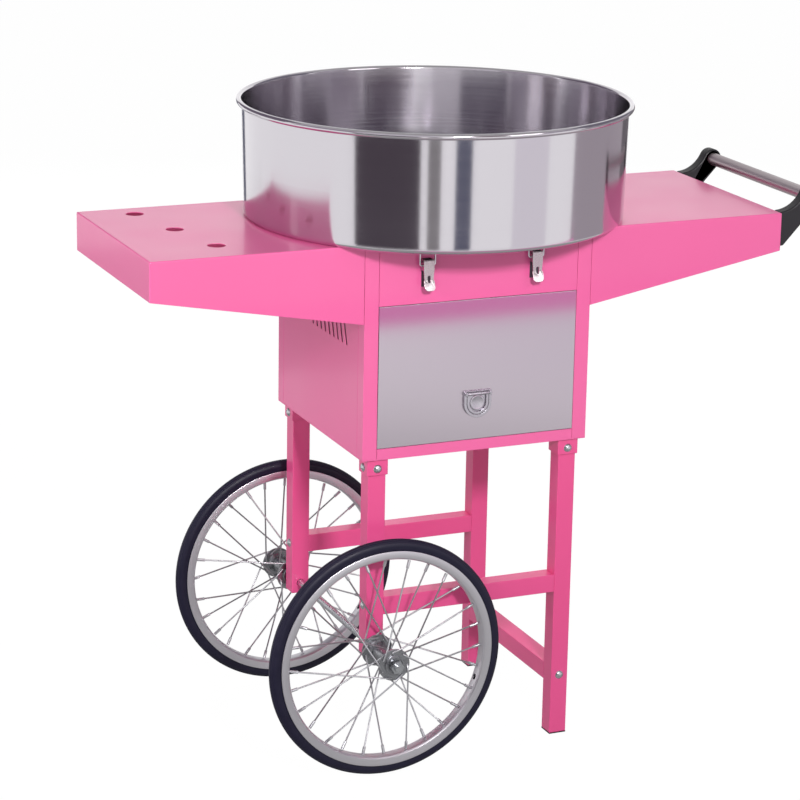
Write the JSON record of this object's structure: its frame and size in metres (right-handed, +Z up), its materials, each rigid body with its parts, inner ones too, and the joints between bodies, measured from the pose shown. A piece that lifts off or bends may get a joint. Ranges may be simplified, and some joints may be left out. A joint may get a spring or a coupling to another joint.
{
  "type": "cotton candy machine cart",
  "caption": "Candy floss machine on a two-wheeled cart: open metal bowl over a cabinet with a drawer, folding shelves on both sides, a push handle and spoked wheels.",
  "frame": {"origin": "bottom centre of the cart's bounding box, on the floor", "axes": "+Z up; +X along the cart from the wheels towards the push handle; -Y towards the drawer side"},
  "size_m": [0.9718, 0.5336, 0.877],
  "materials": {
    "pink_paint": "gloss powder coat",
    "stainless": "satin rolled stainless steel",
    "zinc_steel": "bright zinc plate",
    "chrome_plate": "polished chrome plate",
    "spoke_wire": "drawn stainless wire",
    "tyre_rubber": "smooth black rubber",
    "black_moulding": "fine textured moulding",
    "black_gloss": "gloss moulding",
    "red_gloss": "gloss moulding",
    "cast_aluminium": "turned aluminium",
    "motor_enamel": "satin enamel",
    "slip_brass": "turned brass"
  },
  "bodies": {
    "cart": {"axle": "zinc_steel", "axle_nuts": "zinc_steel", "back_panel": "pink_paint", "bearing_housing": "cast_aluminium", "bowl": "stainless", "bowl_catches": "stainless", "brush_holder": "black_moulding", "cabinet_floor": "pink_paint", "control_housings": "black_gloss", "corner_posts": "pink_paint", "cross_rails": "pink_paint", "dome_bolts": "chrome_plate", "drawer_runners": "zinc_steel", "front_panel": "pink_paint", "handle_bar": "stainless", "handle_brackets": "black_moulding", "left_shelf": "pink_paint", "left_side_panel": "pink_paint", "leg_feet": "black_moulding", "leg_sockets": "pink_paint", "long_legs": "pink_paint", "motor": "motor_enamel", "motor_mount": "zinc_steel", "motor_shelf": "zinc_steel", "power_inlet": "black_moulding", "right_shelf": "pink_paint", "right_side_panel": "pink_paint", "short_legs": "pink_paint", "side_rail": "pink_paint", "toggle_bases": "chrome_plate", "top_deck": "pink_paint", "voltmeter": "black_gloss"},
    "front_wheel": {"front_tyre": "tyre_rubber", "front_rim": "chrome_plate", "front_spokes": "spoke_wire", "front_hub": "chrome_plate"},
    "rear_wheel": {"rear_tyre": "tyre_rubber", "rear_rim": "chrome_plate", "rear_spokes": "spoke_wire", "rear_hub": "chrome_plate"},
    "spinner": {"spindle": "zinc_steel", "slip_rings": "slip_brass", "spinner_head": "cast_aluminium", "heater_band": "zinc_steel", "head_cap": "cast_aluminium"},
    "drawer": {"drawer_box": "zinc_steel", "drawer_front": "stainless", "pull_plate": "chrome_plate"},
    "drawer_pull": {"pull_ring": "chrome_plate"},
    "power_switch": {"power_rocker": "red_gloss"},
    "heat_switch": {"heat_rocker": "black_gloss"},
    "heat_control": {"heat_knob": "black_moulding"},
    "lever_front_left": {"toggle_lever_front_left": "chrome_plate"},
    "bail_front_left": {"toggle_bail_front_left": "chrome_plate"},
    "lever_front_right": {"toggle_lever_front_right": "chrome_plate"},
    "bail_front_right": {"toggle_bail_front_right": "chrome_plate"},
    "lever_back_left": {"toggle_lever_back_left": "chrome_plate"},
    "bail_back_left": {"toggle_bail_back_left": "chrome_plate"},
    "lever_back_right": {"toggle_lever_back_right": "chrome_plate"},
    "bail_back_right": {"toggle_bail_back_right": "chrome_plate"}
  },
  "joints": [
    {"name": "front_wheel_spin", "type": "hinge", "parent": "cart", "child": "front_wheel", "pos_m": [-0.172, -0.1885, 0.165], "axis": [0, 1, 0], "continuous": true},
    {"name": "rear_wheel_spin", "type": "hinge", "parent": "cart", "child": "rear_wheel", "pos_m": [-0.172, 0.1885, 0.165], "axis": [0, 1, 0], "continuous": true},
    {"name": "spinner_spin", "type": "hinge", "parent": "cart", "child": "spinner", "pos_m": [-0.0325, 0, 0.736], "axis": [0, 0, 1], "continuous": true},
    {"name": "drawer_slide", "type": "slide", "parent": "cart", "child": "drawer", "axis": [0, -1, 0], "range_m": [0, 0.22]},
    {"name": "pull_ring_swing", "type": "hinge", "parent": "drawer", "child": "drawer_pull", "pos_m": [-0.0325, -0.16, 0.5084], "axis": [-1, 0, 0], "range_deg": [0, 90]},
    {"name": "power_switch_rock", "type": "hinge", "parent": "cart", "child": "power_switch", "pos_m": [-0.0785, 0.1555, 0.648], "axis": [-1, 0, 0], "range_deg": [0, 18]},
    {"name": "heat_switch_rock", "type": "hinge", "parent": "cart", "child": "heat_switch", "pos_m": [-0.0545, 0.1555, 0.648], "axis": [-1, 0, 0], "range_deg": [0, 18]},
    {"name": "heat_knob_turn", "type": "hinge", "parent": "cart", "child": "heat_control", "pos_m": [-0.0225, 0.1555, 0.648], "axis": [0, -1, 0], "range_deg": [0, 270]},
    {"name": "lever_front_left_throw", "type": "hinge", "parent": "cart", "child": "lever_front_left", "pos_m": [-0.1105, -0.162, 0.6945], "axis": [-1, 0, 0], "range_deg": [0, 105]},
    {"name": "bail_front_left_swing", "type": "hinge", "parent": "lever_front_left", "child": "bail_front_left", "pos_m": [-0.1105, -0.1612, 0.6885], "axis": [-1, 0, 0], "range_deg": [-92, 0]},
    {"name": "lever_front_right_throw", "type": "hinge", "parent": "cart", "child": "lever_front_right", "pos_m": [0.0455, -0.162, 0.6945], "axis": [-1, 0, 0], "range_deg": [0, 105]},
    {"name": "bail_front_right_swing", "type": "hinge", "parent": "lever_front_right", "child": "bail_front_right", "pos_m": [0.0455, -0.1612, 0.6885], "axis": [-1, 0, 0], "range_deg": [-92, 0]},
    {"name": "lever_back_left_throw", "type": "hinge", "parent": "cart", "child": "lever_back_left", "pos_m": [-0.1105, 0.162, 0.6945], "axis": [1, 0, 0], "range_deg": [0, 105]},
    {"name": "bail_back_left_swing", "type": "hinge", "parent": "lever_back_left", "child": "bail_back_left", "pos_m": [-0.1105, 0.1612, 0.6885], "axis": [1, 0, 0], "range_deg": [-92, 0]},
    {"name": "lever_back_right_throw", "type": "hinge", "parent": "cart", "child": "lever_back_right", "pos_m": [0.0455, 0.162, 0.6945], "axis": [1, 0, 0], "range_deg": [0, 105]},
    {"name": "bail_back_right_swing", "type": "hinge", "parent": "lever_back_right", "child": "bail_back_right", "pos_m": [0.0455, 0.1612, 0.6885], "axis": [1, 0, 0], "range_deg": [-92, 0]}
  ],
  "couplings": [
    {"joint": "bail_front_left_swing", "follows": "lever_front_left_throw", "ratio": -0.87},
    {"joint": "bail_front_right_swing", "follows": "lever_front_right_throw", "ratio": -0.87},
    {"joint": "bail_back_left_swing", "follows": "lever_back_left_throw", "ratio": -0.87},
    {"joint": "bail_back_right_swing", "follows": "lever_back_right_throw", "ratio": -0.87}
  ]
}
